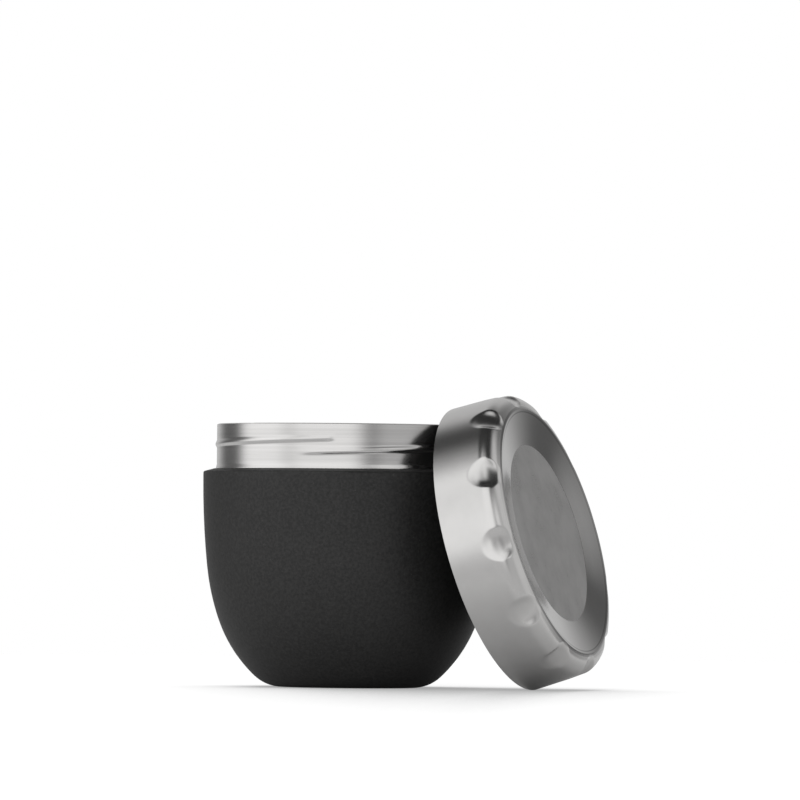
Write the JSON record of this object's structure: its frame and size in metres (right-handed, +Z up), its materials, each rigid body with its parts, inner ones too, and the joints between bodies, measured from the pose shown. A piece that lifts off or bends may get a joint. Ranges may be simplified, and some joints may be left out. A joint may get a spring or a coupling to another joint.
{
  "type": "insulated bowl with lid",
  "caption": "Round vacuum-insulated steel food bowl with a dark speckled coat and bare screw-thread neck, its dimpled steel screw lid taken off and leaning against it.",
  "frame": {"origin": "centre of the bowl's flat base, on the surface that it stands on", "axes": "+Z up along the bowl's axis, -Y towards the viewer, the lid leaning on the +X side"},
  "size_m": [0.1674, 0.1448, 0.12],
  "materials": {
    "black_coat": "matte, finely speckled",
    "brushed_neck": "brushed round the neck",
    "liner_steel": "satin",
    "foil": "bright",
    "plate_steel": "as rolled",
    "solder_glass": "opaque, fired",
    "cover_coat": "matte",
    "getter_pill": "pressed powder",
    "clip_steel": "as rolled",
    "brushed_lid": "brushed side, satin top",
    "cap_plastic": "fine grain",
    "silicone": "matte",
    "foam": "closed-cell foam"
  },
  "bodies": {
    "bowl": {"outer_body": "black_coat", "neck_collar": "brushed_neck", "inner_liner": "liner_steel", "heat_foil": "foil", "base_plate": "plate_steel", "port_seal": "solder_glass", "base_cover": "cover_coat", "getter": "getter_pill", "getter_clip": "clip_steel"},
    "seal": {"lid_seal": "silicone"},
    "lid": {"lid_shell": "brushed_lid", "lid_cap": "cap_plastic", "lid_foam": "foam"}
  },
  "joints": [
    {"name": "lid_lift", "type": "slide", "parent": "bowl", "child": "seal", "axis": [0.9006, -0.3332, 0.279], "range_m": [0, 0.15]},
    {"name": "lid_turn", "type": "hinge", "parent": "seal", "child": "lid", "pos_m": [0.06024, -0.02228, 0.05743], "axis": [0.9006, -0.3332, 0.279], "continuous": true}
  ]
}
